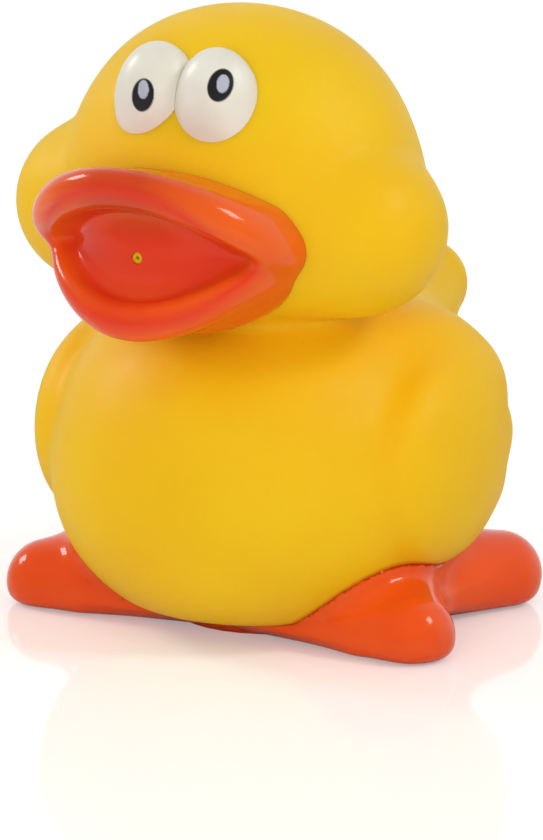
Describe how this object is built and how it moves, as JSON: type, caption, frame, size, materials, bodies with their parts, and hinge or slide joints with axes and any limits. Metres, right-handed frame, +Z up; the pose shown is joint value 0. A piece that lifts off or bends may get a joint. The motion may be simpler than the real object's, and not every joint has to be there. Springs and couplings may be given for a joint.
{
  "type": "floating chlorine dispenser",
  "caption": "Duck-shaped soft float on an orange foot base whose screw lid, tablet cup and flow dial meter out pool chlorine.",
  "frame": {"origin": "on the floor, under the middle of the whole length and width", "axes": "+Z up, the duck faces -Y, +X is the duck's left side"},
  "size_m": [0.1044, 0.1376, 0.1292],
  "materials": {
    "yellow_vinyl": "soft satin translucent vinyl",
    "orange_gloss": "glossy orange-red",
    "eye_white": "glossy ivory white with a black pupil",
    "white_plastic": "moulded polypropylene",
    "grey_plastic": "moulded polypropylene",
    "black_rubber": "matte",
    "stainless": "brushed"
  },
  "bodies": {
    "float": {"duck_shell": "yellow_vinyl", "beak": "orange_gloss", "left_eye": "eye_white", "right_eye": "eye_white", "foot_base": "orange_gloss", "tablet_cup": "white_plastic", "cup_gasket": "black_rubber", "clamp_ring": "white_plastic", "ballast_ring": "stainless", "clamp_screw_1": "stainless", "clamp_screw_2": "stainless", "clamp_screw_3": "stainless", "clamp_screw_4": "stainless"},
    "lid_seal": {"lid_oring": "black_rubber"},
    "screw_lid": {"lid": "orange_gloss", "dial_rivet": "stainless", "dial_washer": "stainless"},
    "dial": {"flow_dial": "grey_plastic"}
  },
  "joints": [
    {"name": "lid_travel", "type": "slide", "parent": "float", "child": "lid_seal", "axis": [0, 0, -1], "range_m": [0, 0.0105]},
    {"name": "lid_turn", "type": "hinge", "parent": "lid_seal", "child": "screw_lid", "pos_m": [0, -0.00587, 0], "axis": [0, 0, -1], "range_deg": [0, 156]},
    {"name": "dial_turn", "type": "hinge", "parent": "screw_lid", "child": "dial", "pos_m": [0, -0.00587, 0], "axis": [0, 0, 1], "range_deg": [0, 45]}
  ],
  "couplings": [
    {"joint": "lid_travel", "follows": "lid_turn", "m_per_rad": 0.0038197}
  ]
}
